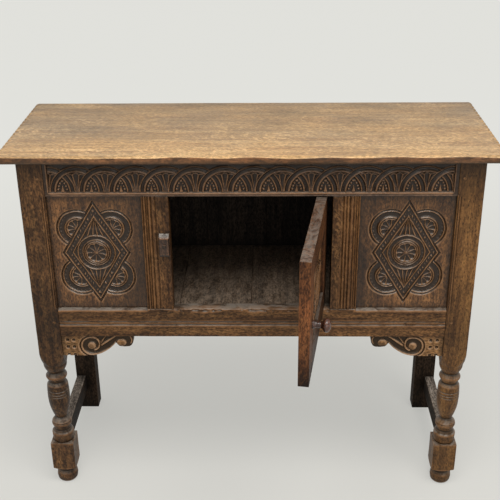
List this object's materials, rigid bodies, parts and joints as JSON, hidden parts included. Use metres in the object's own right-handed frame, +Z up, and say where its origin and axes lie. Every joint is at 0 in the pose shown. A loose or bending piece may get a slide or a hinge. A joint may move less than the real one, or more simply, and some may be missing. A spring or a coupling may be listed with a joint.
{
  "type": "joined oak court cupboard on turned front legs",
  "caption": "Low joined oak side cupboard on turned front legs, with lunette and lozenge carving and one open pivot-hung door.",
  "frame": {"origin": "on the floor, midway between the left and right ends and midway between the open door's front reach and the back edge of the top board", "axes": "+X to the right seen from the front, +Y to the back, +Z up"},
  "size_m": [1.07, 0.6932, 0.872],
  "materials": {
    "dark_oak": "satin",
    "top_oak": "satin",
    "inner_oak": "matte",
    "peg_oak": "matte",
    "turned_wood": "satin",
    "forged_iron": "matte"
  },
  "bodies": {
    "case": {"top_board": "top_oak", "front_left_leg": "dark_oak", "front_right_leg": "dark_oak", "rear_left_leg": "dark_oak", "rear_right_leg": "dark_oak", "front_top_rail": "dark_oak", "front_bottom_rail": "dark_oak", "left_muntin": "dark_oak", "right_muntin": "dark_oak", "left_front_panel": "dark_oak", "right_front_panel": "dark_oak", "left_side_top_rail": "dark_oak", "left_side_bottom_rail": "dark_oak", "left_side_panel": "dark_oak", "right_side_top_rail": "dark_oak", "right_side_bottom_rail": "dark_oak", "right_side_panel": "dark_oak", "left_stretcher": "dark_oak", "right_stretcher": "dark_oak", "rear_top_rail": "inner_oak", "rear_bottom_rail": "inner_oak", "back_board_1": "inner_oak", "back_board_2": "inner_oak", "back_board_3": "inner_oak", "back_board_4": "inner_oak", "back_board_5": "inner_oak", "back_board_6": "inner_oak", "floor_board_1": "inner_oak", "floor_board_2": "inner_oak", "floor_board_3": "inner_oak", "floor_board_4": "inner_oak", "floor_board_5": "inner_oak", "floor_board_6": "inner_oak", "floor_ledger": "inner_oak", "left_bracket": "dark_oak", "right_bracket": "dark_oak", "door_stop": "dark_oak", "turn_button_nail": "forged_iron", "front_frame_pegs": "peg_oak", "side_frame_pegs": "peg_oak", "rear_frame_pegs": "peg_oak", "back_board_nails": "forged_iron"},
    "door": {"door_free_stile": "dark_oak", "door_hinge_stile": "dark_oak", "door_top_rail": "dark_oak", "door_bottom_rail": "dark_oak", "door_panel": "dark_oak", "door_top_pin": "forged_iron", "door_bottom_pin": "forged_iron", "door_knob": "turned_wood", "door_pegs": "peg_oak"},
    "turn_button": {"turn_button": "dark_oak"}
  },
  "joints": [
    {"name": "door_hinge", "type": "hinge", "parent": "case", "child": "door", "pos_m": [0.1541, -0.02036, 0.6375], "axis": [0, 0, 1], "range_deg": [-81.6, 33]},
    {"name": "turn_button_pivot", "type": "hinge", "parent": "case", "child": "turn_button", "pos_m": [-0.1895, -0.03666, 0.662], "axis": [0, 1, 0], "continuous": true}
  ]
}
